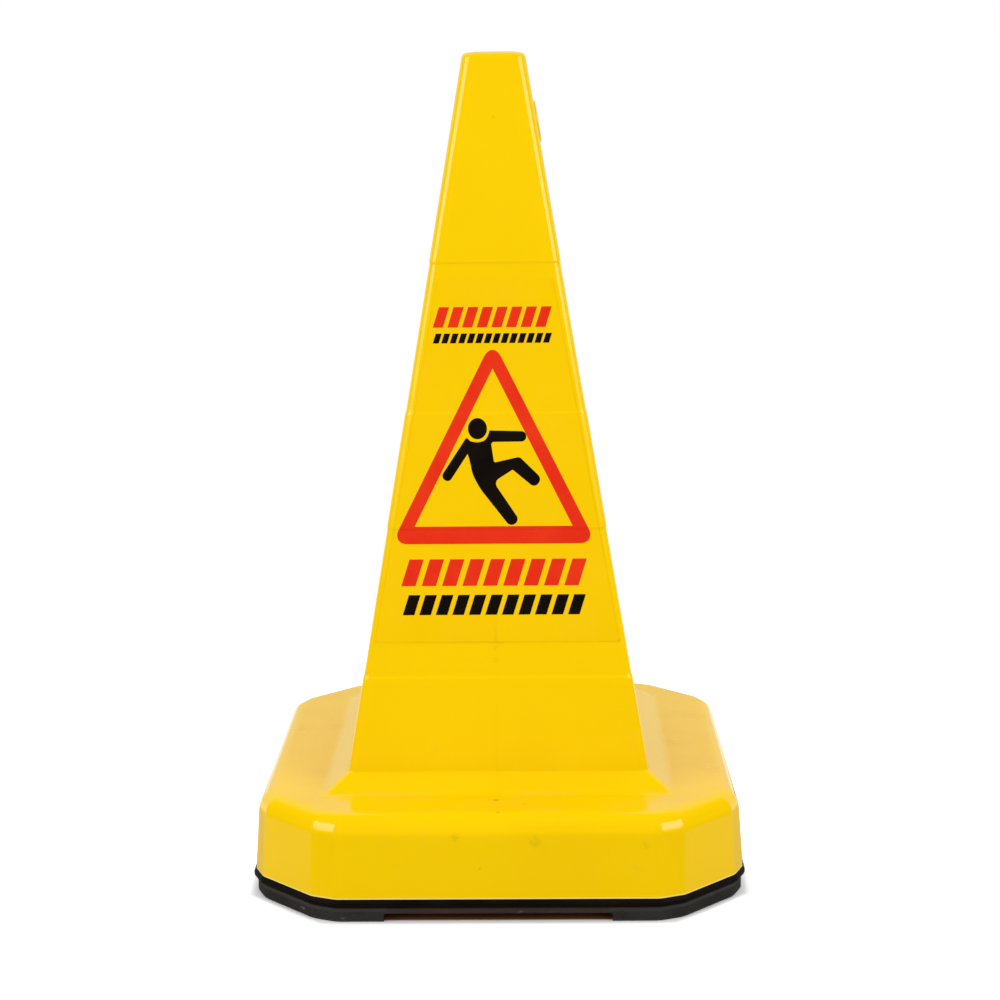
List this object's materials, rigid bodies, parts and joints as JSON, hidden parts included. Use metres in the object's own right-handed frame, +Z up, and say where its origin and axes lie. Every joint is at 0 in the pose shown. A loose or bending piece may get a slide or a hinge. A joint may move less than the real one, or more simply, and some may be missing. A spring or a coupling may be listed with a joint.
{
  "type": "wet floor cone",
  "caption": "Hollow square wet floor cone with band recesses, a faceted base and a pictogram label, on a rubber ballast ring with corner feet.",
  "frame": {"origin": "centre of the footprint, on the floor under the feet", "axes": "+Z up the axis of the cone, -Y towards the labelled front face, +X to the right seen from the front"},
  "size_m": [0.403, 0.403, 0.674],
  "materials": {
    "yellow_plastic": "smooth glossy moulded polyethylene, signal yellow",
    "label_film": "printed self-adhesive vinyl film, yellow ground",
    "seal_rubber": "black extruded rubber",
    "ballast_rubber": "dark grey recycled rubber, dull and dusty",
    "rivet_aluminium": "plain",
    "washer_steel": "zinc plated"
  },
  "bodies": {
    "root": {"cone_shell": "yellow_plastic", "front_label": "label_film", "base_seal": "seal_rubber", "ballast_base": "ballast_rubber", "base_rivets": "rivet_aluminium", "rivet_washers": "washer_steel"}
  },
  "joints": []
}
